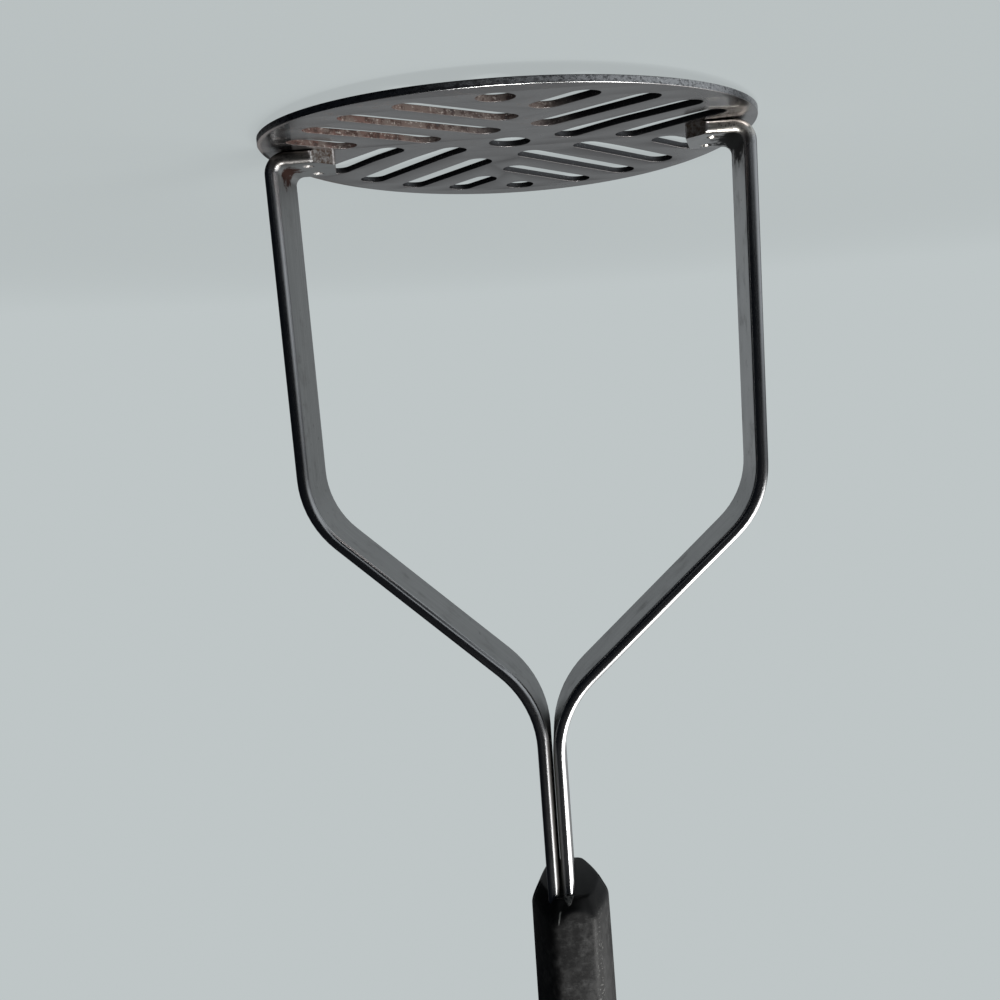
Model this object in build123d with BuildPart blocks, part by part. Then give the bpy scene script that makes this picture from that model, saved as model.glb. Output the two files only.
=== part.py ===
from build123d import *

import os
from math import cos, radians, sin, sqrt

# Potato masher, standing upright on its mashing plate.
# Lengths are in millimetres. +Z runs up the handle, X runs from strap to strap, and the front is -Y.
# The origin is in the middle of the underside of the plate.

# Mashing plate, a stamped disc whose front and back halves are bent up a little by use
plate_diameter = 82.0
plate_thickness = 1.0
plate_edge_radius = 0.25
plate_rim_lift = 1.7
plate_flat_width = 15.0
plate_bend_radius = 80.0
centre_hole_diameter = 7.0
outer_hole_diameter = 5.5
outer_hole_margin = 7.0

# Slots, four to a quadrant, each set turned a quarter from the last
slot_width = 4.8
slot_pitch = 9.6
slot_margin = 4.5
slot_start_shares = (0.52, 0.28, 0.17, 0.29)
quadrants = 4
slot_turn = 45

# Straps, flat bar with rounded long edges, each bent into a tab, a leg, a slope and a tang
# The frame is a little askew: the skew lifts the left strap's bends and lowers the right one's
strap_width = 12.8
strap_thickness = 2.2
strap_edge_radius = 0.95
strap_inset = 0.6
tab_length = 11.2
tab_corner_cut = 3.2
tab_end_slant = 2.0
tab_bend_radius = 2.6
strap_skew = 1.1
shoulder_height = 63.4
shoulder_bend_radius = 16.0
junction_height = 98.7
junction_bend_radius = 20.0
tang_gap = 0.5
tang_length = 42.0
tang_hole_diameter = 4.5
tang_hole_depth = 26.0

# Spot welds, two in each tab
weld_diameter = 3.2
weld_height_in_plate = 0.4
weld_height_in_tab = 0.8
weld_spacing = 6.5
weld_inset = 4.4
weld_dent_diameter = 2.0
weld_dent_depth = 0.6

# Handle, a solid moulding round both tangs, a little off centre and turned a few degrees
handle_start = 134.4
handle_length = 110.0
handle_side_offset = -1.4
handle_turn = -6
handle_nose_length = 2.8
handle_nose_width = 10.8
handle_nose_depth = 13.6
handle_neck_width = 14.2
handle_neck_depth = 16.6
handle_grip_width = 14.9
handle_grip_depth = 19.6
handle_grip_share = 0.5
handle_tail_width = 14.4
handle_tail_depth = 18.4
handle_tail_radius = 3.0
handle_tail_rings = 4
handle_face_share = 0.58
handle_side_share = 0.1
handle_corner_share = 0.28
hanging_hole_diameter = 6.0
hanging_hole_margin = 11.0
socket_clearance = 0.05

# How far a cutting shape runs past what it cuts
overrun = 1.0

plate_radius = plate_diameter / 2
outer_hole_radius = plate_radius - outer_hole_margin
leg_centre = plate_radius - strap_inset - strap_thickness / 2
tab_end = plate_radius - strap_inset - tab_length
tab_middle_height = plate_thickness + strap_thickness / 2
tab_top = plate_thickness + strap_thickness
tang_centre = (tang_gap + strap_thickness) / 2
tang_end = handle_start + tang_length
tang_hole_height = handle_start + tang_hole_depth
weld_place = tab_end + weld_inset
handle_end = handle_start + handle_length
hanging_hole_height = handle_end - hanging_hole_margin
sides = {"left": -1, "right": 1}


def slot_ends(row):
    """Sideways place, near end and far end of one slot, measured along its quadrant's diagonal."""
    across = (len(slot_start_shares) - 1 - 2 * row) * slot_pitch / 2
    near = slot_start_shares[row] * plate_radius
    far = sqrt((plate_radius - slot_margin) ** 2 - across**2)
    return across, near, far


def make_strap(side):
    """One strap, swept from the end of its tab to the end of its tang."""
    with BuildPart() as strap:
        with BuildLine(Plane.XZ) as route:
            FilletPolyline(
                (side * tab_end, tab_middle_height),
                (side * leg_centre, tab_middle_height),
                (side * leg_centre, shoulder_height - side * strap_skew),
                (side * tang_centre, junction_height - side * strap_skew),
                (side * tang_centre, tang_end),
                radius=[tab_bend_radius, shoulder_bend_radius, junction_bend_radius],
            )
        with BuildSketch(Plane(origin=route.line @ 0, z_dir=route.line % 0, x_dir=(0, 1, 0))):
            RectangleRounded(strap_width, strap_thickness, strap_edge_radius)
        sweep(path=route.line)

        # The tab's front corner is cut off, and its end slants back from there
        with BuildSketch(Plane.XY.offset(plate_thickness - overrun)):
            edge_y = strap_width / 2
            slant_past = tab_end_slant * overrun / (strap_width - tab_corner_cut)
            Polygon(
                (side * (tab_end - overrun), -edge_y - overrun),
                (side * (tab_end + tab_corner_cut + overrun), -edge_y - overrun),
                (side * tab_end, tab_corner_cut - edge_y),
                (side * (tab_end + tab_end_slant + slant_past), edge_y + overrun),
                (side * (tab_end - overrun), edge_y + overrun),
                align=None,
            )
        extrude(amount=strap_thickness + 2 * overrun, mode=Mode.SUBTRACT)

        # Seats for the welds below, and the dents that the electrodes left above
        with Locations(Location((side * weld_place, 0, plate_thickness))):
            with GridLocations(0, weld_spacing, 1, 2):
                Cylinder(
                    weld_diameter / 2,
                    weld_height_in_tab,
                    align=(Align.CENTER, Align.CENTER, Align.MIN),
                    mode=Mode.SUBTRACT,
                )
        dent_radius = (weld_dent_diameter**2 / 4 + weld_dent_depth**2) / (2 * weld_dent_depth)
        with Locations(Location((side * weld_place, 0, tab_top - weld_dent_depth + dent_radius))):
            with GridLocations(0, weld_spacing, 1, 2):
                Sphere(dent_radius, mode=Mode.SUBTRACT)

        # The hole that the handle's plastic bridge runs through
        with BuildSketch(Plane.YZ.offset(side * tang_centre)):
            with Locations((0, tang_hole_height)):
                Circle(tang_hole_diameter / 2)
        extrude(amount=strap_thickness, both=True, mode=Mode.SUBTRACT)
    return strap


def make_welds(side):
    """The two weld nuggets that join one tab to the plate."""
    with BuildPart() as welds:
        with Locations(Location((side * weld_place, 0, plate_thickness - weld_height_in_plate))):
            with GridLocations(0, weld_spacing, 1, 2):
                Cylinder(
                    weld_diameter / 2,
                    weld_height_in_plate + weld_height_in_tab,
                    align=(Align.CENTER, Align.CENTER, Align.MIN),
                )
    return welds


def handle_section(height, width, depth):
    """A soft-cornered octagon across the handle, at one height."""
    with BuildSketch(Plane.XY.offset(height)) as section:
        with Locations(Location((handle_side_offset, 0), handle_turn)):
            face = handle_face_share * width / 2
            flank = handle_side_share * depth / 2
            Polygon(
                (face, -depth / 2),
                (width / 2, -flank),
                (width / 2, flank),
                (face, depth / 2),
                (-face, depth / 2),
                (-width / 2, flank),
                (-width / 2, -flank),
                (-face, -depth / 2),
            )
        fillet(section.vertices(), handle_corner_share * width / 2)
    return section.sketch


with BuildPart() as mashing_plate:
    with BuildSketch(Plane.YZ):
        with BuildLine() as profile:
            FilletPolyline(
                (-plate_radius - overrun, plate_rim_lift + plate_thickness / 2),
                (-plate_flat_width / 2, plate_thickness / 2),
                (plate_flat_width / 2, plate_thickness / 2),
                (plate_radius + overrun, plate_rim_lift + plate_thickness / 2),
                radius=plate_bend_radius,
            )
        trace(line_width=plate_thickness)
    extrude(amount=plate_radius + overrun, both=True)
    with BuildSketch(Plane.XY.offset(-overrun)):
        Circle(plate_radius)
    extrude(amount=plate_rim_lift + plate_thickness + 2 * overrun, mode=Mode.INTERSECT)

    # The top of the rim is rounded all the way round
    top_faces = mashing_plate.faces().filter_by(lambda face: face.normal_at().Z > 1 / 2)
    fillet(top_faces.edges().filter_by(GeomType.LINE, reverse=True), plate_edge_radius)

    with BuildSketch(Plane.XY.offset(-overrun)):
        Circle(centre_hole_diameter / 2)
        with GridLocations(0, 2 * outer_hole_radius, 1, 2):
            Circle(outer_hole_diameter / 2)
        with PolarLocations(0, quadrants, start_angle=slot_turn):
            for row in range(len(slot_start_shares)):
                across, near, far = slot_ends(row)
                with Locations(((near + far) / 2, across)):
                    SlotOverall(far - near, slot_width)
    extrude(amount=plate_rim_lift + plate_thickness + 2 * overrun, mode=Mode.SUBTRACT)

    # Seats for the lower halves of the welds
    for side in sides.values():
        with Locations(Location((side * weld_place, 0, plate_thickness))):
            with GridLocations(0, weld_spacing, 1, 2):
                Cylinder(
                    weld_diameter / 2,
                    weld_height_in_plate,
                    align=(Align.CENTER, Align.CENTER, Align.MAX),
                    mode=Mode.SUBTRACT,
                )

left_strap = make_strap(sides["left"])
right_strap = make_strap(sides["right"])
left_spot_welds = make_welds(sides["left"])
right_spot_welds = make_welds(sides["right"])

grip_height = handle_start + handle_grip_share * handle_length
nose_section = handle_section(handle_start, handle_nose_width, handle_nose_depth)
neck_section = handle_section(handle_start + handle_nose_length, handle_neck_width, handle_neck_depth)
grip_section = handle_section(grip_height, handle_grip_width, handle_grip_depth)
tail_start = handle_end - handle_tail_radius
tail_sections = []
for ring in range(handle_tail_rings + 1):
    # Each ring is drawn in along a quarter circle
    angle = radians(90 * ring / handle_tail_rings)
    rise = handle_tail_radius * sin(angle)
    inset = handle_tail_radius * (1 - cos(angle))
    tail_sections.append(
        handle_section(tail_start + rise, handle_tail_width - 2 * inset, handle_tail_depth - 2 * inset)
    )

with BuildPart() as handle:
    # Nose, from the end face to the neck, then the swelling grip, then the rounded tail
    loft([nose_section, neck_section], ruled=True)
    loft([neck_section, grip_section, tail_sections[0]])
    loft(tail_sections, ruled=True)

    # Sockets that the tangs sit in
    for side in sides.values():
        with BuildSketch(Plane.XY.offset(handle_start - overrun)):
            with Locations((side * tang_centre, 0)):
                RectangleRounded(
                    strap_thickness + 2 * socket_clearance,
                    strap_width + 2 * socket_clearance,
                    strap_edge_radius + socket_clearance,
                )
        extrude(amount=tang_length + socket_clearance + overrun, mode=Mode.SUBTRACT)

    # Bridge of plastic through the holes in both tangs
    with BuildSketch(Plane.YZ):
        with Locations((0, tang_hole_height)):
            Circle(tang_hole_diameter / 2 - socket_clearance)
    extrude(amount=tang_centre + strap_thickness, both=True)

    # Hanging hole through the tail, square to the turned front of the handle
    turn = radians(handle_turn)
    hole_middle = (handle_side_offset, 0, hanging_hole_height)
    with BuildSketch(Plane(hole_middle, x_dir=(cos(turn), sin(turn), 0), z_dir=(sin(turn), -cos(turn), 0))):
        Circle(hanging_hole_diameter / 2)
    extrude(amount=handle_grip_depth, both=True, mode=Mode.SUBTRACT)

pieces = {
    "mashing_plate": mashing_plate,
    "left_strap": left_strap,
    "right_strap": right_strap,
    "left_spot_welds": left_spot_welds,
    "right_spot_welds": right_spot_welds,
    "handle": handle,
}
os.makedirs("parts", exist_ok=True)
for name, piece in pieces.items():
    piece.part.label = name
    export_step(piece.part, f"parts/{name}.step")
    print(name, len(piece.part.solids()), "solid(s)", round(piece.part.volume), "mm3")
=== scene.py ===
import math

import bmesh
import bpy
from mathutils import Matrix, Vector


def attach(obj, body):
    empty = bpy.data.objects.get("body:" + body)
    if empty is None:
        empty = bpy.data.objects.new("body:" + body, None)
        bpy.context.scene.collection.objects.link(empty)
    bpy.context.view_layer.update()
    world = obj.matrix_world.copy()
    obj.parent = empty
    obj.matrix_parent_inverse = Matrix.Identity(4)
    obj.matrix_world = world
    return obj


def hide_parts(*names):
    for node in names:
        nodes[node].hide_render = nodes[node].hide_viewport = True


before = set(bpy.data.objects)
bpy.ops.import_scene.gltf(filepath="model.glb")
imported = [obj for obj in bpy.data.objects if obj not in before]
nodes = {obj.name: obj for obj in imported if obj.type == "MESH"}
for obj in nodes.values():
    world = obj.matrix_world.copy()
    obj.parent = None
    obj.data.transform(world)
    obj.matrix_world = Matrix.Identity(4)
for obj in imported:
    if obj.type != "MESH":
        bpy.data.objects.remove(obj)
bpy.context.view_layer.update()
print("frame loaded:", ", ".join(sorted(nodes)))


# Shader maths
# The finishes below give a border as two numbers: something begins at the first and is full at the second
# A third number is the share that it reaches
# They give a noise as its scale, or three scales, then its detail and its roughness

class Wire:  # an output socket that can be used in sums
    def __init__(self, tree, socket=None):
        self.tree = tree
        self.socket = socket

    def node(self, kind, settings=None, inputs=None, output=0):
        made = self.tree.nodes.new(kind)
        for name, value in (settings or {}).items():
            setattr(made, name, value)
        for name, value in (inputs or {}).items():
            if isinstance(value, Wire):
                self.tree.links.new(value.socket, made.inputs[name])
            else:
                made.inputs[name].default_value = value
        return Wire(self.tree, made.outputs[output] if made.outputs else None)

    def maths(self, operation, *others):
        return self.node("ShaderNodeMath", {"operation": operation}, dict(enumerate([self, *others])))

    def mathsAfter(self, operation, first):  # for sums that start with a plain number
        return self.node("ShaderNodeMath", {"operation": operation}, {0: first, 1: self})

    def __add__(self, other):
        return self.maths("ADD", other)

    def __radd__(self, other):
        return self.mathsAfter("ADD", other)

    def __sub__(self, other):
        return self.maths("SUBTRACT", other)

    def __rsub__(self, other):
        return self.mathsAfter("SUBTRACT", other)

    def __mul__(self, other):
        return self.maths("MULTIPLY", other)

    def __rmul__(self, other):
        return self.mathsAfter("MULTIPLY", other)

    def __abs__(self):
        return self.maths("ABSOLUTE")

    def atMost(self, most=1.0):
        return self.maths("MINIMUM", most)

    def smooth(self, low, high, most=1.0):  # 0 at low, most at high
        return self.node(
            "ShaderNodeMapRange",
            {"interpolation_type": "SMOOTHSTEP"},
            {"Value": self, "From Min": low, "From Max": high, "To Max": most},
        )

    def within(self, borders):  # 1 between the two borders
        first, second = borders
        return self.smooth(*first) * self.smooth(*second)

    def place(self):  # in metres of the frame, because every piece sits at the origin
        return self.node("ShaderNodeTexCoord", output="Object")

    def facing(self):
        return self.node("ShaderNodeTexCoord", output="Normal")

    def parts(self):  # the three numbers of a vector
        made = self.node("ShaderNodeSeparateXYZ", None, {0: self})
        return [Wire(self.tree, output) for output in made.socket.node.outputs]

    def joined(self, x, y, z):
        return self.node("ShaderNodeCombineXYZ", None, {0: x, 1: y, 2: z})

    def length(self):
        return self.node("ShaderNodeVectorMath", {"operation": "LENGTH"}, {0: self}, output="Value")

    def noise(self, scale, detail=3.0, roughness=0.5):  # self is the place
        inputs = {"Vector": self, "Scale": scale, "Detail": detail, "Roughness": roughness}
        return self.node("ShaderNodeTexNoise", None, inputs)

    def streaks(self, places, scales, detail, roughness=0.5):  # noise with a scale for each direction
        scaled = [place * scale for place, scale in zip(places, scales)]
        return self.joined(*scaled).noise(1.0, detail, roughness)

    def blend(self, first, second):  # self is the share of the second colour
        inputs = {0: self, 6: first, 7: second}
        return self.node("ShaderNodeMix", {"data_type": "RGBA"}, inputs, output=2)

    def bump(self, strength, distance):  # self is the height
        return self.node("ShaderNodeBump", None, {"Height": self, "Strength": strength, "Distance": distance})


def summed(base, shares, masks):  # base, and each mask times its share
    total = base
    for name, share in shares.items():
        total = total + masks[name] * share
    return total


def newSurface(name):
    material = bpy.data.materials.new(name)
    material.use_nodes = True
    tree = material.node_tree
    tree.nodes.clear()
    return material, Wire(tree)


def finishSurface(start, inputs):
    shader = start.node("ShaderNodeBsdfPrincipled", None, inputs)
    start.node("ShaderNodeOutputMaterial", None, {"Surface": shader})


def dress(piece, material):
    piece.data.materials.clear()
    piece.data.materials.append(material)


# Camera, from the perspective of the plate and straps in the picture

photoView = {
    "place": (-0.00721, -0.16646, 0.03602),
    "right": (-0.99764, 0.01398, 0.06718),
    "down": (0.06455, -0.14076, 0.98794),
    "focalPixels": 948.1,
    "centrePixel": (552.4, 483.2),
    "imagePixels": 1000,
    "sensor": 36,
    "clipStart": 0.005,
}


def makeCamera(view):
    data = bpy.data.cameras.new("photoCamera")
    pixels = view["imagePixels"]
    centreX, centreY = view["centrePixel"]
    data.sensor_width = view["sensor"]
    data.lens = view["focalPixels"] * view["sensor"] / pixels
    data.shift_x = (pixels / 2 - centreX) / pixels
    data.shift_y = (centreY - pixels / 2) / pixels
    data.clip_start = view["clipStart"]
    right = Vector(view["right"]).normalized()
    up = -Vector(view["down"])
    up = (up - right * up.dot(right)).normalized()
    back = right.cross(up)
    camera = bpy.data.objects.new("photoCamera", data)
    turn = Matrix((right, up, back)).transposed().to_4x4()
    camera.matrix_world = Matrix.Translation(Vector(view["place"])) @ turn
    bpy.context.collection.objects.link(camera)
    bpy.context.scene.camera = camera


makeCamera(photoView)
print("camera set")


# Room that metal mirrors, floor and lamps

paleBoard = (0.52, 0.565, 0.57, 1)  # what the background shows

room = {  # borders are shares of a direction's X, Y or Z
    "dark": (0.004, 0.005, 0.007, 1),  # the unlit room in front
    "board": (0.30, 0.32, 0.33, 1),  # what metal sees behind the masher
    "boardFront": (0.30, 0.55),  # Y
    "boardSides": ((-0.80, -0.60), (0.70, 0.50)),  # X
    "boardHeights": ((-0.75, -0.60), (0.55, 0.40)),  # Z
    "wall": (0.49, 0.52, 0.54, 1),  # the lit wall under the window
    "wallSide": (-0.32, -1.08),  # X
    "wallBack": (0.70, 0.25),  # Y
    "wallTop": (0.10, -0.04),  # Z
    "wallDim": 0.20,  # what is left of it above that
    "wallFoot": (-0.40, -0.26),  # Z, at the very front
    "footSlant": 0.35,  # its foot is lower further back
    "lowStart": -0.16,  # share of Z under which the lit wall widens
    "lowReach": 0.11,  # how far down it goes on widening
    "lowSpread": 8.0,
    "window": (2.4, 2.4, 2.36, 1),
    "windowSide": (-0.22, -0.75),  # X
    "windowBack": (0.75, 0.40),  # Y
    "windowSill": (0.39, 0.53),  # Z, at the sill's middle
    "sillMiddle": -0.5,  # X
    "sillSlant": 0.3,  # the sill is lower further out
}


def wallMask(x, y, z):
    below = (room["lowStart"] - z).maths("MAXIMUM", 0.0).atMost(room["lowReach"])
    dim = room["wallDim"]
    bright = z.smooth(*room["wallTop"]) * (1 - dim) + dim
    aboveFoot = (z + (y + 1) * room["footSlant"]).smooth(*room["wallFoot"])
    sideways = (x - below * room["lowSpread"]).smooth(*room["wallSide"])
    return sideways * bright * aboveFoot * y.smooth(*room["wallBack"])


def windowMask(x, y, z):
    aboveSill = (z - (x - room["sillMiddle"]) * room["sillSlant"]).smooth(*room["windowSill"])
    return x.smooth(*room["windowSide"]) * aboveSill * y.smooth(*room["windowBack"])


def boardMask(x, y, z):
    return y.smooth(*room["boardFront"]) * x.within(room["boardSides"]) * z.within(room["boardHeights"])


def makeWorld():
    world = bpy.data.worlds.new("studio")
    bpy.context.scene.world = world
    world.use_nodes = True
    tree = world.node_tree
    tree.nodes.clear()
    start = Wire(tree)
    x, y, z = start.node("ShaderNodeTexCoord", output="Generated").parts()
    seen = wallMask(x, y, z).blend(room["dark"], room["wall"])
    seen = windowMask(x, y, z).blend(seen, room["window"])
    seen = boardMask(x, y, z).blend(seen, room["board"])
    camera = start.node("ShaderNodeLightPath", output="Is Camera Ray")
    through = start.node("ShaderNodeLightPath", output="Is Transmission Ray")
    plain = start.node("ShaderNodeBackground", None, {"Color": paleBoard, "Strength": 1.0})
    mirrored = start.node("ShaderNodeBackground", None, {"Color": seen, "Strength": 1.0})
    shown = camera.maths("MAXIMUM", through)
    both = start.node("ShaderNodeMixShader", None, {0: shown, 1: mirrored, 2: plain})
    start.node("ShaderNodeOutputWorld", None, {"Surface": both})


floorLook = {
    "size": 6.0,
    "drop": 0.0002,  # how far it lies under the plate
    "paint": (0.33, 0.36, 0.365, 1),  # the lamps bring it up to the pale board's colour
    "glow": 0.80,  # share of the floor that shows plain near the masher
    "fade": (0.10, 0.45),  # distances over which the rest turns plain
}


def makeFloor():
    half = floorLook["size"] / 2
    mesh = bpy.data.meshes.new("floor")
    corners = [(-half, -half, 0), (half, -half, 0), (half, half, 0), (-half, half, 0)]
    mesh.from_pydata(corners, [], [(0, 1, 2, 3)])
    floor = bpy.data.objects.new("floor", mesh)
    floor.location.z = -floorLook["drop"]
    bpy.context.collection.objects.link(floor)
    material, start = newSurface("paleBoard")
    glow = floorLook["glow"]
    share = glow + start.place().length().smooth(*floorLook["fade"]) * (1 - glow)
    shown = share * start.node("ShaderNodeLightPath", output="Is Camera Ray")
    plain = start.node("ShaderNodeEmission", None, {"Color": paleBoard, "Strength": 1.0})
    lit = start.node("ShaderNodeBsdfDiffuse", None, {"Color": floorLook["paint"]})
    mixed = start.node("ShaderNodeMixShader", None, {0: shown, 1: lit, 2: plain})
    start.node("ShaderNodeOutputMaterial", None, {"Surface": mixed})
    mesh.materials.append(material)
    floor.visible_glossy = False


lamps = {
    "key": {"place": (-0.36, -0.26, 0.44), "size": 0.26, "watts": 1.5},
    "top": {"place": (-0.03, -0.22, 0.72), "size": 0.24, "watts": 2.8},
}
lampColour = (1.0, 0.99, 0.97)
lampAim = (0.0, 0.0, 0.09)


def makeLamps():
    for name, lamp in lamps.items():
        data = bpy.data.lights.new(name, "AREA")
        data.shape = "DISK"
        data.size = lamp["size"]
        data.energy = lamp["watts"]
        data.color = lampColour
        made = bpy.data.objects.new(name, data)
        made.location = lamp["place"]
        toAim = Vector(lampAim) - Vector(lamp["place"])
        made.rotation_euler = toAim.to_track_quat("-Z", "Y").to_euler()
        bpy.context.collection.objects.link(made)


makeWorld()
makeFloor()
makeLamps()
bpy.context.scene.view_settings.view_transform = "Standard"
print("studio set")


# Steel of the straps

strapFinish = {
    "face": (0.42, 0.425, 0.425, 1),
    "edge": (0.56, 0.56, 0.57, 1),
    "bright": (0.72, 0.72, 0.72, 1),
    # dirt, and also the colour of the painted shade between the tangs
    "grime": (0.07, 0.065, 0.06, 1),
    "cutFace": (0.115, 0.082, 0.064, 1),
    "slopeTurn": math.radians(47),  # from the leg's line to the slope's
    "slopeEnds": ((0.060, 0.063), (0.100, 0.097)),  # Z
    "legEnd": (0.064, 0.056),  # Z
    "tabTop": (0.0045, 0.0030),  # Z
    "lineNoise": ((2600, 2600, 60), 4.0, 0.6),  # across the bar, from front to back, and along the bar
    "longNoise": ((900, 900, 14), 2.0),
    "pitNoise": ((3000, 3000, 900), 2.0, 0.7),
    "patchNoise": (190.0, 4.0, 0.6),
    "spotNoise": (900.0, 2.0),
    "tornNoise": (1500.0, 4.0, 0.7),
    "stainNoise": (700.0, 4.0, 0.65),
    "edgeFacing": (0.15, 0.45),  # share of Y in the direction that the surface faces
    "edgeClean": 0.6,  # share of the dirt that is worn off the edges
    "lineShine": (0.45, 0.75, 0.3),
    "grimePatches": (0.52, 0.74, 0.4),
    "grimeSpots": (0.68, 0.76, 0.5),
    "stainRagged": 0.006,  # how far the noise moves the stain's border
    "stainShare": 1.2,
    "tabPits": (0.50, 0.64, 0.6),
    "creviceHeight": (0.0021, 0.0015),  # Z of the dirt that is caught where the tab meets the plate
    "creviceReach": (0.0395, 0.0375),  # X, in from the leg
    "crevicePatches": (0.30, 0.44),
    "betweenX": (0.0011, 0.0004),  # painted shade on the faces of the tangs that face each other
    "betweenZ": (0.101, 0.106),
    # share of the mirror taken away under that painted shade
    "betweenShadeDullness": 0.9,
    "cutReach": (0.0332, 0.0328),  # X, inside which the tab's faces are cut ones
    "cutOutward": (0.35, 0.65),  # share of X in the direction that they face
    "cutRise": (0.3, 0.15),  # and of Z
    "cutShare": 0.9,
    "cutTorn": (0.40, 0.68),
    "cutCorners": ((0.0324, -0.0062), (0.0292, -0.0032)),  # painted highlights on the rounded corners of the cut
    "cornerSize": (0.00042, 0.00018),
    "cornerTorn": (0.35, 0.50),
    "rough": 0.31,
    "roughShares": {"edge": -0.19, "patches": 0.10, "long": 0.08, "stain": 0.25, "cut": 0.2, "between": 0.3},
    "heights": {"long": 0.7, "pits": 0.8, "torn": 2.0},
    "bump": (0.14, 0.00004),
}


strapLooks = {  # each leg's own colour, the stain beside its foot, and its tab's edges, which are dirty on the right strap and brightened into a painted highlight on the left
    "left_strap": {
        "side": -1,
        "leg": (0.63, 0.63, 0.63, 1),
        "stain": (0.007, 0.006, 0.005, 1),
        "stainPlace": (0.0376, -0.0015, 0.0036),
        "stainSize": (0.0042, 0.0021),
        "stainDepth": 0.5,  # how much distance in Y counts, so less makes it deeper
        "crevice": 0.35,
        # painted highlight: the near-white edges of this tab
        "tabEdge": (0.86, 0.83, 0.77, 1),
        "tabShare": 0.95,
        "tabRough": 0.08,
    },
    "right_strap": {
        "side": 1,
        "leg": (0.315, 0.32, 0.32, 1),
        "stain": (0.050, 0.022, 0.016, 1),
        "stainPlace": (0.0378, -0.0010, 0.0037),
        "stainSize": (0.0029, 0.00145),
        "stainDepth": 0.9,
        "crevice": 1.0,
        "tabEdge": (0.20, 0.185, 0.17, 1),
        "tabShare": 0.75,
        "tabRough": 0.14,
    },
}


def barStreaks(x, y, z, onTab, side):  # they run along the bar and turn with its bends
    finish = strapFinish
    turn = side * finish["slopeTurn"]
    onSlope = z.within(finish["slopeEnds"])
    along = z * (1 - onSlope) + (z * math.cos(turn) - x * math.sin(turn)) * onSlope
    across = x * (1 - onSlope) + (x * math.cos(turn) + z * math.sin(turn)) * onSlope
    places = (across * (1 - onTab) + z * onTab, y, along * (1 - onTab) + x * onTab)
    return [x.streaks(places, *finish[noise]) for noise in ("lineNoise", "longNoise", "pitNoise")]


def stainMask(place, look):
    x, y, z = place.parts()
    stainX, stainY, stainZ = look["stainPlace"]
    away = x.joined(x - look["side"] * stainX, (y - stainY) * look["stainDepth"], z - stainZ).length()
    ragged = away + (place.noise(*strapFinish["stainNoise"]) - 0.5) * strapFinish["stainRagged"]
    return ragged.smooth(*look["stainSize"])


def cutFaceMask(x, outward, rise, onTab):
    finish = strapFinish
    mask = abs(x).smooth(*finish["cutReach"]) * onTab
    return mask * abs(outward).smooth(*finish["cutOutward"]) * abs(rise).smooth(*finish["cutRise"])


def strapSteel(name, look):
    finish = strapFinish
    material, start = newSurface(name)
    place = start.place()
    x, y, z = place.parts()
    outward, depth, rise = start.facing().parts()
    onTab = z.smooth(*finish["tabTop"])
    lines, longLines, pits = barStreaks(x, y, z, onTab, look["side"])
    patches = place.noise(*finish["patchNoise"])
    spots = place.noise(*finish["spotNoise"])
    torn = place.noise(*finish["tornNoise"])
    edge = abs(depth).smooth(*finish["edgeFacing"])
    dirtLeft = 1 - edge * finish["edgeClean"]
    colour = z.smooth(*finish["legEnd"]).blend(finish["face"], look["leg"])
    colour = edge.blend(colour, finish["edge"])
    colour = lines.smooth(*finish["lineShine"]).blend(colour, finish["bright"])
    grime = patches.smooth(*finish["grimePatches"]) + spots.smooth(*finish["grimeSpots"])
    colour = (grime * dirtLeft).blend(colour, finish["grime"])
    stain = stainMask(place, look) * dirtLeft
    colour = (stain * finish["stainShare"]).atMost().blend(colour, look["stain"])
    # each tab's own edge colour: a painted highlight on the left strap, dirt on the right
    tabEdge = onTab * edge
    colour = (tabEdge * look["tabShare"]).blend(colour, look["tabEdge"])
    colour = (tabEdge * torn.smooth(*finish["tabPits"])).blend(colour, finish["grime"])
    crevice = z.smooth(*finish["creviceHeight"]) * abs(x).smooth(*finish["creviceReach"])
    crevice = crevice * patches.smooth(*finish["crevicePatches"])
    colour = (crevice * look["crevice"]).blend(colour, finish["grime"])
    # painted shade: the tangs' facing sides in the narrow gap get the dark grime colour and lose their mirror
    between = abs(x).smooth(*finish["betweenX"]) * z.smooth(*finish["betweenZ"])
    colour = between.blend(colour, finish["grime"])
    cutFace = cutFaceMask(x, outward, rise, onTab)
    cutColour = torn.smooth(*finish["cutTorn"]).blend(finish["cutFace"], finish["face"])
    colour = (cutFace * finish["cutShare"]).blend(colour, cutColour)
    # painted highlights: bright spots on the corners of each tab's cut end
    for cornerX, cornerY in finish["cutCorners"]:
        toCorner = start.joined(abs(x) - cornerX, y - cornerY, 0.0).length()
        cornerHighlight = toCorner.smooth(*finish["cornerSize"]) * onTab * torn.smooth(*finish["cornerTorn"])
        colour = cornerHighlight.blend(colour, finish["bright"])
    masks = {
        "edge": edge,
        "patches": patches,
        "long": longLines,
        "stain": stain,
        "cut": cutFace,
        "between": between,
    }
    rough = summed(finish["rough"], finish["roughShares"], masks) + tabEdge * look["tabRough"]
    raised = {"long": longLines, "pits": pits * edge, "torn": torn * cutFace}
    height = summed(lines, finish["heights"], raised)
    finishSurface(start, {
        "Base Color": colour,
        "Metallic": 1 - between * finish["betweenShadeDullness"],
        "Roughness": rough,
        "Normal": height.bump(*finish["bump"]),
    })
    return material


for name, look in strapLooks.items():
    dress(nodes[name], strapSteel(name + "Steel", look))
print("straps dressed")


# Plate, cut from sheet with the edges of its slots just rounded

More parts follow.
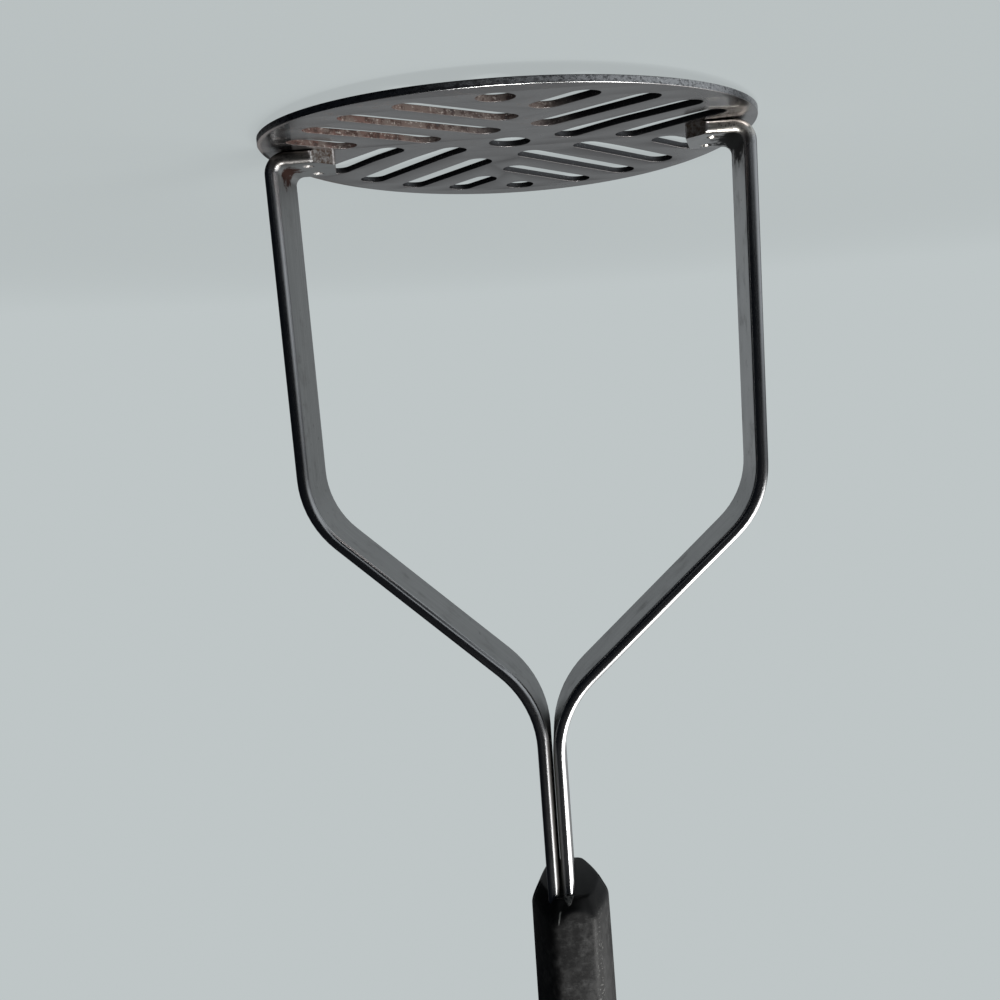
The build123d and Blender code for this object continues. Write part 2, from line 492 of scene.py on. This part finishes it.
plateShape = {
    "radius": 0.041,
    "thickness": 0.0010,
    "edgeRound": 0.00009,
    "edgeSteps": 3,
    "rimLift": 0.0017,  # how far the front and back are bent up at liftPlace
    "liftPlace": 0.042,
    "flatHalf": 0.0075,
    "bendRadius": 0.080,
    "bendCuts": (-0.002, -0.001, 0.0, 0.001, 0.002),  # extra points round the bend, from its line
    "centreHole": 0.0035,
    "centrePoints": 48,
    "outerHole": 0.00275,
    "outerPoints": 40,
    "outerHolePlace": 0.034,
    "quadrants": 4,
    "slotTurn": 45,  # degrees
    "slotWidth": 0.0048,
    "slotPitch": 0.0096,
    "slotMargin": 0.0045,
    "slotStarts": (0.52, 0.28, 0.17, 0.29),  # shares of the radius
    "slotPoints": 14,
    "rimPoints": 288,
    "mergeGap": 2e-6,
    "sharpTurn": math.radians(40),
}


def ringPoints(x, y, radius, count):
    turns = [2 * math.pi * step / count for step in range(count)]
    return [(x + radius * math.cos(turn), y + radius * math.sin(turn)) for turn in turns]


def slotPoints(row, quadrant):
    shape = plateShape
    across = (len(shape["slotStarts"]) - 1 - 2 * row) * shape["slotPitch"] / 2
    near = shape["slotStarts"][row] * shape["radius"]
    far = math.sqrt((shape["radius"] - shape["slotMargin"]) ** 2 - across ** 2)
    half = shape["slotWidth"] / 2
    steps = shape["slotPoints"]
    points = []
    for centre, begin in ((far - half, -math.pi / 2), (near + half, math.pi / 2)):
        for step in range(steps + 1):
            turn = begin + math.pi * step / steps
            points.append((centre + half * math.cos(turn), across + half * math.sin(turn)))
    turn = math.radians(shape["slotTurn"] + 360 / shape["quadrants"] * quadrant)
    return [
        (u * math.cos(turn) - v * math.sin(turn), u * math.sin(turn) + v * math.cos(turn))
        for u, v in points
    ]


def plateOutlines():
    shape = plateShape
    outlines = [ringPoints(0, 0, shape["radius"], shape["rimPoints"])]
    outlines.append(ringPoints(0, 0, shape["centreHole"], shape["centrePoints"]))
    for side in (-1, 1):
        y = side * shape["outerHolePlace"]
        outlines.append(ringPoints(0, y, shape["outerHole"], shape["outerPoints"]))
    for quadrant in range(shape["quadrants"]):
        for row in range(len(shape["slotStarts"])):
            outlines.append(slotPoints(row, quadrant))
    return outlines


def bendLift(y):  # flat, then round the bend, then straight on to the rim
    shape = plateShape
    slope = math.atan(shape["rimLift"] / (shape["liftPlace"] - shape["flatHalf"]))
    reach = shape["bendRadius"] * math.tan(slope / 2)
    past = abs(y) - (shape["flatHalf"] - reach)
    if past <= 0:
        return 0.0
    if past < reach * (1 + math.cos(slope)):
        return shape["bendRadius"] - math.sqrt(shape["bendRadius"] ** 2 - past ** 2)
    return (abs(y) - shape["flatHalf"]) * math.tan(slope)


def finalMesh(piece):  # with its modifiers or its bevel applied
    return bpy.data.meshes.new_from_object(piece.evaluated_get(bpy.context.evaluated_depsgraph_get()))


def meshFromOutlines(name, outlines, thickness, edgeRound, edgeSteps):
    curve = bpy.data.curves.new(name, "CURVE")
    curve.dimensions = "2D"
    curve.fill_mode = "BOTH"
    curve.extrude = thickness / 2 - edgeRound
    curve.bevel_depth = edgeRound
    curve.bevel_resolution = edgeSteps
    curve.offset = -edgeRound
    for outline in outlines:
        spline = curve.splines.new("POLY")
        spline.points.add(len(outline) - 1)
        for point, (x, y) in zip(spline.points, outline):
            point.co = (x, y, 0, 1)
        spline.use_cyclic_u = True
    holder = bpy.data.objects.new(name, curve)
    bpy.context.collection.objects.link(holder)
    bpy.context.view_layer.update()
    mesh = finalMesh(holder)
    bpy.data.objects.remove(holder)
    return mesh


def countOpen(work):
    return len([edge for edge in work.edges if not edge.is_manifold])


def shadeRounded(piece, sharpTurn):
    piece.data.shade_smooth()
    piece.data.set_sharp_from_angle(angle=sharpTurn)


def makePlate():
    shape = plateShape
    mesh = meshFromOutlines(
        "slottedPlate", plateOutlines(), shape["thickness"], shape["edgeRound"], shape["edgeSteps"]
    )
    work = bmesh.new()
    work.from_mesh(mesh)
    bmesh.ops.remove_doubles(work, verts=work.verts, dist=shape["mergeGap"])
    for side in (-1, 1):
        for past in shape["bendCuts"]:
            cut = (0, side * (shape["flatHalf"] + past), 0)
            everything = work.verts[:] + work.edges[:] + work.faces[:]
            bmesh.ops.bisect_plane(work, geom=everything, plane_co=cut, plane_no=(0, 1, 0))
    for vertex in work.verts:
        vertex.co.z += shape["thickness"] / 2 + bendLift(vertex.co.y)
    bmesh.ops.recalc_face_normals(work, faces=work.faces)
    print("plate mesh:", len(work.verts), "points,", countOpen(work), "open edges")
    work.to_mesh(mesh)
    work.free()
    plate = bpy.data.objects.new("slotted_plate", mesh)
    bpy.context.collection.objects.link(plate)
    shadeRounded(plate, shape["sharpTurn"])
    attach(plate, "root")
    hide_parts("mashing_plate")
    return plate


plateFinish = {
    "face": (0.290, 0.272, 0.270, 1),
    "wall": (0.10, 0.10, 0.105, 1),
    "rim": (0.50, 0.50, 0.51, 1),
    "scratch": (0.11, 0.11, 0.115, 1),
    "bright": (0.80, 0.80, 0.80, 1),
    # colour of the painted highlight round the rim's corner
    "lip": (0.95, 0.95, 0.95, 1),
    # colour of the painted reflection of a dent, a dark patch
    "dentReflection": (0.055, 0.055, 0.060, 1),
    "wallFacing": (0.75, 0.35),  # share of Z in the direction that the surface faces
    "rimPlace": (0.0402, 0.0406),  # from the middle
    "fineNoise": ((240, 2600, 200), 3.0, 0.6),  # X, Y and Z
    "rubNoise": ((300, 300, 9000), 3.0, 0.6),
    "turnedNoise": ((1500, 120, 200), 3.0, 0.6),  # the two diagonals, and Z
    "scoreNoise": ((500, 1300, 2500), 4.0, 0.7),
    "patchNoise": (130.0, 4.0, 0.6),
    "glintNoise": (2600.0, 2.0, 0.6),
    "fineShine": (0.58, 0.82, 0.18),
    "turnedShine": (0.60, 0.82, 0.14),
    "scratches": (0.46, 0.64, 0.85),
    "glints": (0.62, 0.70),
    "faceGlint": 0.15,  # share of the glints that show away from the rim
    "lipHighlightFacing": ((0.12, 0.35), (0.995, 0.95)),  # painted highlight, a near-white line round the rim's corner
    "lipHighlightEnds": ((-0.023, -0.013), (0.016, 0.008)),  # X
    "dentReflectionSlant": 0.26,
    "dentReflectionSides": ((0.0366, 0.0371), (0.0408, 0.0400)),  # X, along the slant
    "dentReflectionFront": (-0.002, -0.008),  # Y
    "dentReflectionPatches": (0.20, 0.42),
    "farEnd": (-0.028, -0.036),  # X, smoother
    "workedEnd": (0.028, 0.036),  # X, rougher, and its rim most
    "dinged": (0.010, -0.004),  # X of the part of the rim that was knocked
    "rough": 0.24,
    "roughShares": {
        "patches": 0.10,
        "farEnd": -0.12,
        "worked": 0.10,
        "workedRim": 0.35,
        "dentReflection": -0.14,
        "lip": -0.06,
        "rust": 0.4,
        "wall": 0.10,
        "worn": -0.12,
    },
    "heights": {"rust": 5.0, "scores": 3.0, "rubs": 1.0, "dings": 6.0, "glints": 4.0},
    "bump": (0.10, 0.00006),
}


rustFinish = {
    "dark": (0.060, 0.030, 0.024, 1),
    "red": (0.150, 0.070, 0.058, 1),
    "grey": (0.165, 0.130, 0.115, 1),
    "crumb": (0.42, 0.37, 0.34, 1),
    "sides": ((-0.006, 0.012), (0.002, -0.008)),  # X and Y
    "frontSides": ((-0.012, -0.006), (-0.006, -0.014, 0.8)),  # thinner rust near the front
    "lumpNoise": (700.0, 5.0, 0.7),
    "lumps": (0.20, 0.42),
    "hollows": (0.52, 0.40),  # dark
    "haloNoise": (1100.0, 4.0, 0.7),
    "halo": (0.56, 0.66, 0.5),
    "haloPlace": (0.0017, 0.0024),  # of the flecks beside a slot, from halfway between two slots
    "redNoise": (400.0, 3.0),
    "redPatches": (0.35, 0.60),
    "redder": (0.008, 0.026, 0.7),  # X
    "leastRed": 0.15,
    "crumbNoise": (2200.0, 3.0, 0.7),
    "crumbs": (0.58, 0.66),
    "dullness": 0.85,  # share of the metal's mirror that it takes away
}


def rustedCorner(x, y, rim):
    sideX, sideY = rustFinish["sides"]
    frontX, frontY = rustFinish["frontSides"]
    thick = x.smooth(*sideX) * y.smooth(*sideY)
    thin = x.smooth(*frontX) * y.smooth(*frontY)
    return thick.maths("MAXIMUM", thin) * (1 - rim)


def plateRust(place, x, y, wall, rim):  # its mask, colour and height
    finish = rustFinish
    corner = rustedCorner(x, y, rim)
    lumps = place.noise(*finish["lumpNoise"])
    toMiddle = ((x + y) * math.sqrt(0.5)).maths("PINGPONG", plateShape["slotPitch"] / 2)
    halo = toMiddle.smooth(*finish["haloPlace"]) * corner * (1 - wall)
    mask = corner * wall * lumps.smooth(*finish["lumps"])
    mask = mask + halo * place.noise(*finish["haloNoise"]).smooth(*finish["halo"])
    redness = x.smooth(*finish["redder"]) + finish["leastRed"]
    redness = redness * place.noise(*finish["redNoise"]).smooth(*finish["redPatches"])
    colour = redness.blend(finish["grey"], finish["red"])
    colour = lumps.smooth(*finish["hollows"]).blend(colour, finish["dark"])
    crumbs = place.noise(*finish["crumbNoise"]).smooth(*finish["crumbs"])
    colour = crumbs.blend(colour, finish["crumb"])
    return mask, colour, lumps + crumbs


def plateSteel():
    finish = plateFinish
    material, start = newSurface("plateSteel")
    place = start.place()
    x, y, z = place.parts()
    level = abs(start.facing().parts()[2])
    wall = level.smooth(*finish["wallFacing"])
    rim = (x * x + y * y).maths("SQRT").smooth(*finish["rimPlace"])
    worn = rim * wall
    fine = start.streaks((x, y, z), *finish["fineNoise"])
    rubbed = start.streaks((x, y, z), *finish["rubNoise"])
    turned = start.streaks((x + y, x - y, z), *finish["turnedNoise"])
    scored = start.streaks((x + y, x - y, z), *finish["scoreNoise"])
    patches = place.noise(*finish["patchNoise"])
    glint = place.noise(*finish["glintNoise"]).smooth(*finish["glints"])
    colour = wall.blend(finish["face"], rim.blend(finish["wall"], finish["rim"]))
    marks = fine.smooth(*finish["fineShine"]) + turned.smooth(*finish["turnedShine"])
    colour = (marks * (1 - wall)).blend(colour, finish["bright"])
    colour = (worn * scored.smooth(*finish["scratches"])).blend(colour, finish["scratch"])
    # painted highlight: a near-white line on the rim's rounded corner, over part of its length
    lip = rim * level.within(finish["lipHighlightFacing"]) * x.within(finish["lipHighlightEnds"])
    colour = lip.blend(colour, finish["lip"])
    # painted reflection of a dent: a dark patch near the front of the plate at its +X end
    dentReflection = (x - y * finish["dentReflectionSlant"]).within(finish["dentReflectionSides"]) * y.smooth(*finish["dentReflectionFront"])
    dentReflection = dentReflection * (1 - rim) * patches.smooth(*finish["dentReflectionPatches"])
    colour = dentReflection.blend(colour, finish["dentReflection"])
    colour = (glint * (finish["faceGlint"] + worn)).atMost().blend(colour, finish["bright"])
    rusty, rustColour, rustHeight = plateRust(place, x, y, wall, rim)
    colour = rusty.blend(colour, rustColour)
    worked = x.smooth(*finish["workedEnd"])
    dinged = worn * x.smooth(*finish["dinged"])
    masks = {
        "patches": patches,
        "farEnd": x.smooth(*finish["farEnd"]),
        "worked": worked,
        "workedRim": worked * rim,
        "dentReflection": dentReflection,
        "lip": lip,
        "rust": rusty,
        "wall": wall,
        "worn": worn,
    }
    raised = {
        "rust": rustHeight * rusty,
        "scores": scored * worn,
        "rubs": rubbed * worn,
        "dings": scored * dinged,
        "glints": glint * dinged,
    }
    finishSurface(start, {
        "Base Color": colour,
        "Metallic": 1 - rusty * rustFinish["dullness"],
        "Roughness": summed(finish["rough"], finish["roughShares"], masks),
        "Normal": summed(fine + turned, finish["heights"], raised).bump(*finish["bump"]),
    })
    return material


plate = makePlate()
dress(plate, plateSteel())
print("plate made")


# Welds

weldFinish = {
    "face": (0.5, 0.49, 0.47, 1),
    "burnt": (0.2, 0.17, 0.14, 1),
    "grainNoise": (2400.0, 3.0),
    "grains": (0.4, 0.7),
    "rough": 0.2,
    "grainRough": 0.5,
    "bump": (0.3, 0.00005),
}


def weldSteel():
    finish = weldFinish
    material, start = newSurface("weldSteel")
    grain = start.place().noise(*finish["grainNoise"])
    finishSurface(start, {
        "Base Color": grain.smooth(*finish["grains"]).blend(finish["face"], finish["burnt"]),
        "Metallic": 1.0,
        "Roughness": grain * finish["grainRough"] + finish["rough"],
        "Normal": grain.bump(*finish["bump"]),
    })
    return material


weld = weldSteel()
for name in ("left_spot_welds", "right_spot_welds"):
    dress(nodes[name], weld)
print("welds dressed")


# Handle, a moulding with slightly rounded faces, a mould line up each side and a socket for each strap

handleShape = {
    "start": 0.1344,
    "length": 0.110,
    "offset": -0.0014,
    "turn": math.radians(-6),
    "startSize": (0.0108, 0.0136),
    # Height above the start, width and depth
    "sizes": ((0.0028, 0.0142, 0.0166), (0.055, 0.0149, 0.0196), (0.107, 0.0144, 0.0184)),
    "faceShare": 0.58,
    "sideShare": 0.10,
    "cornerShare": 0.28,
    "bulge": 0.00012,
    "ridge": 0.00006,  # how far the mould line stands out
    "noseRound": 0.0004,
    "noseLengths": (0.0018, 0.0034),  # in the middle of the front, and at its corners
    "shoulderRound": 0.30,  # share of the nose's length over which its shoulder is rounded
    "tailRound": 0.003,
    "noseHeights": (0, 0.00004, 0.00014, 0.00028, 0.0004),
    "shoulderHeights": (0.0008, 0.00025, 15),  # first, step and count
    "gripStart": 0.006,
    "gripSteps": 34,
    "tailSteps": 10,
    "arcPoints": 5,
    "facePoints": 8,
    "socketWidth": 0.0023,
    "socketDepth": 0.0129,
    "socketRound": 0.0010,
    "socketPlace": 0.00135,
    "socketLength": 0.04205,
    "socketOverrun": 0.001,
    "socketArcPoints": 6,
    "socketFacePoints": 2,
    "holeRadius": 0.003,
    "holePlace": 0.099,
    "holePoints": 48,
    "holeOverrun": 0.004,
    "lipRound": 0.0008,
    "lipSteps": 6,
    "mergeGap": 1e-6,
    "sharpTurn": math.radians(32),
}


def handleSize(height):  # width and depth at a height above the handle's start
    (z1, *first), (z2, *second), (z3, *third) = handleShape["sizes"]
    share1 = (height - z2) * (height - z3) / ((z1 - z2) * (z1 - z3))
    share2 = (height - z1) * (height - z3) / ((z2 - z1) * (z2 - z3))
    share3 = (height - z1) * (height - z2) / ((z3 - z1) * (z3 - z2))
    return [a * share1 + b * share2 + c * share3 for a, b, c in zip(first, second, third)]


def handleInset(height):  # how far the rounding at either end draws a ring in
    shape = handleShape
    inset = 0.0
    for radius, past in ((shape["noseRound"], height), (shape["tailRound"], shape["length"] - height)):
        if past < radius:
            inset += radius - math.sqrt(max(radius ** 2 - (radius - past) ** 2, 0))
    return inset


def cornerArc(corner, before, after, radius, steps):  # before and after point along the two faces
    half = before.angle(after) / 2
    reach = radius / math.tan(half)
    centre = corner + (before + after).normalized() * radius / math.sin(half)
    first = corner + before * reach - centre
    last = corner + after * reach - centre
    sweep = first.angle(last)
    arc = []
    for step in range(steps + 1):
        share = step / steps
        turned = first * math.sin((1 - share) * sweep) + last * math.sin(share * sweep)
        arc.append(centre + turned / math.sin(sweep))
    return arc


def roundedPolygon(corners, radius, arcPoints, facePoints, bulge=0.0, ridge=0.0):
    # Each point comes with a number: 0 in the middle of the front or back, 1 at their corners and elsewhere
    arcs = []
    for index, corner in enumerate(corners):
        before = (corners[index - 1] - corner).normalized()
        after = (corners[(index + 1) % len(corners)] - corner).normalized()
        arcs.append(cornerArc(corner, before, after, radius, arcPoints))
    ring = []
    for index, arc in enumerate(arcs):
        ring.extend((point, 1.0) for point in arc)
        begin = arc[-1]
        end = arcs[(index + 1) % len(arcs)][0]
        out = (end - begin).orthogonal().normalized()
        if out.dot(begin) < 0:
            out = -out
        onSide = (end - begin).length < radius  # the short face that the mould line runs up
        onFront = abs(end.y - begin.y) < 1e-6
        for step in range(1, facePoints):
            share = step / facePoints
            lift = bulge * 4 * share * (1 - share)
            if onSide and step * 2 == facePoints:
                lift += ridge
            ring.append((begin.lerp(end, share) + out * lift, abs(2 * share - 1) if onFront else 1.0))
    return ring


def handleSection(width, depth):
    shape = handleShape
    face = shape["faceShare"] * width / 2
    flank = shape["sideShare"] * depth / 2
    half = [(face, -depth / 2), (width / 2, -flank), (width / 2, flank), (face, depth / 2)]
    corners = [Vector(point) for point in half + [(-x, -y) for x, y in half]]
    radius = shape["cornerShare"] * width / 2
    bulge, ridge = shape["bulge"], shape["ridge"]
    return roundedPolygon(corners, radius, shape["arcPoints"], shape["facePoints"], bulge, ridge)


def shoulder(share, soft):  # share, held to 1 with a soft turn
    if soft == 0 or abs(share - 1) >= soft:
        return min(share, 1)
    return share - (share - 1 + soft) ** 2 / (4 * soft)


def handleRing(height):  # the nose is turned down to its end, so it is longer towards the corners
    shape = handleShape
    inset = 2 * handleInset(height)
    width, depth = handleSize(height)
    body = handleSection(width - inset, depth - inset)
    width, depth = shape["startSize"]
    end = handleSection(width - inset, depth - inset)
    turn = Matrix.Rotation(shape["turn"], 2)
    shortest, longest = shape["noseLengths"]
    ring = []
    for (bodyPoint, corner), (endPoint, _) in zip(body, end):
        length = shortest + (longest - shortest) * corner ** 2
        share = shoulder(height / length, shape["shoulderRound"] * corner ** 2)
        placed = turn @ endPoint.lerp(bodyPoint, share) + Vector((shape["offset"], 0))
        ring.append((placed.x, placed.y, shape["start"] + height))
    return ring


def handleHeights():
    shape = handleShape
    heights = list(shape["noseHeights"])
    first, rise, count = shape["shoulderHeights"]
    heights += [first + rise * step for step in range(count)]
    grip, steps = shape["gripStart"], shape["gripSteps"]
    tail = shape["length"] - shape["tailRound"]
    heights += [grip + (tail - grip) * step / steps for step in range(steps + 1)]
    for step in range(1, shape["tailSteps"] + 1):
        turn = math.pi / (2 * shape["tailSteps"]) * step
        heights.append(tail + shape["tailRound"] * math.sin(turn))
    return heights


def socketRing(side, height):
    shape = handleShape
    w, d = shape["socketWidth"] / 2, shape["socketDepth"] / 2
    corners = [Vector(point) for point in ((w, -d), (w, d), (-w, d), (-w, -d))]
    ring = roundedPolygon(corners, shape["socketRound"], shape["socketArcPoints"], shape["socketFacePoints"])
    middle, z = side * shape["socketPlace"], shape["start"] + height
    return [(point.x + middle, point.y, z) for point, _ in ring]


def closedTube(name, rings):  # a solid through the rings, capped at both ends
    work = bmesh.new()
    rows = [[work.verts.new(point) for point in ring] for ring in rings]
    for lower, upper in zip(rows, rows[1:]):
        for index in range(len(lower)):
            work.faces.new((lower[index - 1], lower[index], upper[index], upper[index - 1]))
    work.faces.new(rows[0])
    work.faces.new(rows[-1])
    bmesh.ops.recalc_face_normals(work, faces=work.faces)
    mesh = bpy.data.meshes.new(name)
    work.to_mesh(mesh)
    work.free()
    made = bpy.data.objects.new(name, mesh)
    bpy.context.collection.objects.link(made)
    return made


def socketCutter(side):
    shape = handleShape
    ends = (-shape["socketOverrun"], shape["socketLength"])
    return closedTube("socketCutter", [socketRing(side, height) for height in ends])


def holeCutter():  # a bore with flared ends, square to the turned front
    shape = handleShape
    half = handleSize(shape["holePlace"])[1] / 2 + shape["bulge"]
    lip = shape["lipRound"]
    profile = []
    for step in range(shape["lipSteps"] + 1):
        turn = math.pi / 2 * step / shape["lipSteps"]
        profile.append((half - lip + lip * math.sin(turn), shape["holeRadius"] + lip * (1 - math.cos(turn))))
    profile.append((half + shape["holeOverrun"], shape["holeRadius"] + lip))
    profile = [(-along, radius) for along, radius in reversed(profile)] + profile
    turn = Matrix.Rotation(shape["turn"], 3, "Z")
    centre = Vector((shape["offset"], 0, shape["start"] + shape["holePlace"]))
    rings = []
    for along, radius in profile:
        points = [Vector((x, along, z)) for x, z in ringPoints(0, 0, radius, shape["holePoints"])]
        rings.append([tuple(centre + turn @ point) for point in points])
    return closedTube("holeCutter", rings)


def cutAway(piece, cutter, mergeGap):
    change = piece.modifiers.new("cut", "BOOLEAN")
    change.operation = "DIFFERENCE"
    change.solver = "EXACT"
    change.object = cutter
    bpy.context.view_layer.update()
    mesh = finalMesh(piece)
    work = bmesh.new()
    work.from_mesh(mesh)
    bmesh.ops.remove_doubles(work, verts=work.verts, dist=mergeGap)
    bmesh.ops.dissolve_degenerate(work, dist=mergeGap, edges=work.edges)
    print("cut piece:", len(work.verts), "points,", countOpen(work), "open edges")
    work.to_mesh(mesh)
    work.free()
    piece.modifiers.clear()
    piece.data = mesh
    bpy.data.objects.remove(cutter)


def makeHandle():
    handle = closedTube("scuffed_handle", [handleRing(height) for height in handleHeights()])
    for cutter in (socketCutter(-1), socketCutter(1), holeCutter()):
        cutAway(handle, cutter, handleShape["mergeGap"])
    shadeRounded(handle, handleShape["sharpTurn"])
    print("handle mesh:", len(handle.data.vertices), "points")
    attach(handle, "root")
    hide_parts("handle")
    return handle


handleFinish = {
    "black": (0.0040, 0.0040, 0.0045, 1),
    "scuff": (0.085, 0.085, 0.085, 1),
    "mark": (0.17, 0.17, 0.165, 1),
    "grainNoise": (3200.0, 3.0, 0.6),
    "cloudNoise": (620.0, 5.0, 0.65),
    "rubNoise": (170.0, 3.0, 0.6),
    "scratchNoise": ((2200, 2200, 160), 3.0, 0.6),  # X, Y and Z
    "crossNoise": ((500, 500, 2800), 3.0, 0.6),
    "bodyStart": (0.0018, 0.0040),  # from the handle's start; the nose below it stays unscuffed black, partly painted shade
    "clouds": (0.40, 0.70, 0.6),
    "crosses": (0.58, 0.72, 0.4),
    "rubs": (0.30, 0.62),
    "shadedSide": (-0.001, 0.006, 0.7),  # across the front from its middle, where the scuffs fade out: painted shade on that side
    "front": (-0.004, -0.006),  # Y
    "wornPlace": 0.0046,  # how far the worn corner is from the middle of the front face
    "wornSlant": 0.03,  # and how much nearer for each metre from the handle's start
    "wornWidth": (0.0010, 0.0002),
    "fleckNoise": (2000.0, 3.0, 0.65),
    "flecks": (0.55, 0.66),
    "groupNoise": (420.0, 2.0),
    "groups": (0.40, 0.55),
    "strayFlecks": 0.08,  # share of the flecks that lie away from the worn corner
    "nickPlace": 0.00024,  # X of its first end
    "nickEnds": ((0.0019, 0.0023), (0.0044, 0.0038)),  # from the handle's start
    "nickWidth": (0.000182, 0.00007),  # to each side of its middle
    "nickSlant": 0.22,
    "nickNoise": (900.0, 3.0),
    "nickRagged": 0.0003,
    "rough": 0.38,
    "roughShares": {"scuff": 0.30, "grain": 0.10, "worn": 0.15},
    "heights": {"scratches": 0.5, "cloud": 2.0, "crossed": 0.6},
    "grainHeight": 0.5,
    "bump": (0.30, 0.00007),
    "specular": 0.3,
}


def nickMask(place, x, fromEnd):  # a slanting nick near the handle's start
    finish = handleFinish
    first = finish["nickEnds"][0][0]
    ragged = (place.noise(*finish["nickNoise"]) - 0.5) * finish["nickRagged"]
    away = abs(x - finish["nickPlace"] - (fromEnd - first) * finish["nickSlant"] + ragged)
    return away.smooth(*finish["nickWidth"]) * fromEnd.within(finish["nickEnds"])


def handlePlastic():
    finish = handleFinish
    material, start = newSurface("handlePlastic")
    place = start.place()
    x, y, z = place.parts()
    grain = place.noise(*finish["grainNoise"])
    cloud = place.noise(*finish["cloudNoise"])
    rubbed = place.noise(*finish["rubNoise"])
    scratches = start.streaks((x, y, z), *finish["scratchNoise"])
    crossed = start.streaks((x, y, z), *finish["crossNoise"])
    fromEnd = z - handleShape["start"]
    # scuffs begin past the nose, which stays black: partly its bare plastic, partly painted shade
    body = fromEnd.smooth(*finish["bodyStart"])
    turn = handleShape["turn"]
    sideways = (x - handleShape["offset"]) * math.cos(turn) + y * math.sin(turn)
    scuff = cloud.smooth(*finish["clouds"]) + crossed.smooth(*finish["crosses"])
    # the real scuffs fade towards +X across the front, a painted shade on that side
    scuff = scuff * rubbed.smooth(*finish["rubs"]) * body * (1 - sideways.smooth(*finish["shadedSide"]))
    colour = scuff.atMost().blend(finish["black"], finish["scuff"])
    forward = y.smooth(*finish["front"])
    fromCorner = abs(sideways + finish["wornPlace"] - fromEnd * finish["wornSlant"])
    wornEdge = fromCorner.smooth(*finish["wornWidth"]) * forward
    flecks = place.noise(*finish["fleckNoise"]).smooth(*finish["flecks"])
    flecks = flecks * place.noise(*finish["groupNoise"]).smooth(*finish["groups"])
    marks = flecks * (wornEdge + finish["strayFlecks"]) * body
    colour = marks.atMost().blend(colour, finish["mark"])
    colour = (nickMask(place, x, fromEnd) * forward).blend(colour, finish["mark"])
    masks = {"scuff": scuff, "grain": grain, "worn": wornEdge}
    raised = {"scratches": scratches, "cloud": cloud * body, "crossed": crossed * body}
    height = summed(grain * finish["grainHeight"], finish["heights"], raised)
    finishSurface(start, {
        "Base Color": colour,
        "Roughness": summed(finish["rough"], finish["roughShares"], masks),
        "Normal": height.bump(*finish["bump"]),
        "Specular IOR Level": finish["specular"],
    })
    return material


handle = makeHandle()
dress(handle, handlePlastic())
print("handle made")


# Burr, a sliver of plastic that was drawn out in front of one strap

burrShape = {
    "place": (-0.00135, -0.0067),  # X and Y of its root
    "early": 0.0002,  # how far before the handle it starts
    "length": 0.0013,
    "run": 0.0011,  # how far its tip leans forward
    "curl": 0.00015,
    "lean": 0.0001,  # and to the side
    "half": 0.00090,  # half its width at the root
    "tipHalf": 0.00004,
    "taper": 0.7,
    "thickness": 0.00016,
    "thinning": 0.7,  # share of the thickness that its tip has lost
    "backShare": 0.6,
    "steps": 8,
    "frontSteps": 6,
    "backPoints": 3,
    "sharpTurn": math.radians(50),
}
burrFinish = {
    "grainNoise": (2600.0, 3.0),
    "grains": (0.30, 0.65),
    "rough": 0.45,
    "bump": (0.2, 0.00004),
}


def burrRing(share):  # share of the way from its root to its tip
    shape = burrShape
    rootX, rootY = shape["place"]
    half = shape["half"] * (1 - share) ** shape["taper"] + shape["tipHalf"]
    thick = shape["thickness"] * (1 - share * shape["thinning"])
    x = rootX + shape["lean"] * share
    y = rootY - shape["run"] * share - shape["curl"] * math.sin(math.pi * share)
    z = handleShape["start"] - shape["early"] + shape["length"] * share
    turns = [math.pi * step / shape["frontSteps"] for step in range(shape["frontSteps"] + 1)]
    ring = [(x + half * math.cos(turn), y - thick * math.sin(turn), z) for turn in turns]
    for step in range(1, shape["backPoints"] + 1):
        across = 2 * step / (shape["backPoints"] + 1) - 1
        ring.append((x + half * across, y + thick * shape["backShare"], z))
    return ring


def makeBurr():
    steps = burrShape["steps"]
    burr = closedTube("handle_burr", [burrRing(step / steps) for step in range(steps + 1)])
    shadeRounded(burr, burrShape["sharpTurn"])
    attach(burr, "root")
    return burr


def burrPlastic():
    finish = burrFinish
    material, start = newSurface("burrPlastic")
    grain = start.place().noise(*finish["grainNoise"])
    finishSurface(start, {
        "Base Color": grain.smooth(*finish["grains"]).blend(handleFinish["black"], handleFinish["scuff"]),
        "Roughness": finish["rough"],
        "Normal": grain.bump(*finish["bump"]),
    })
    return material


dress(makeBurr(), burrPlastic())
print("burr made")
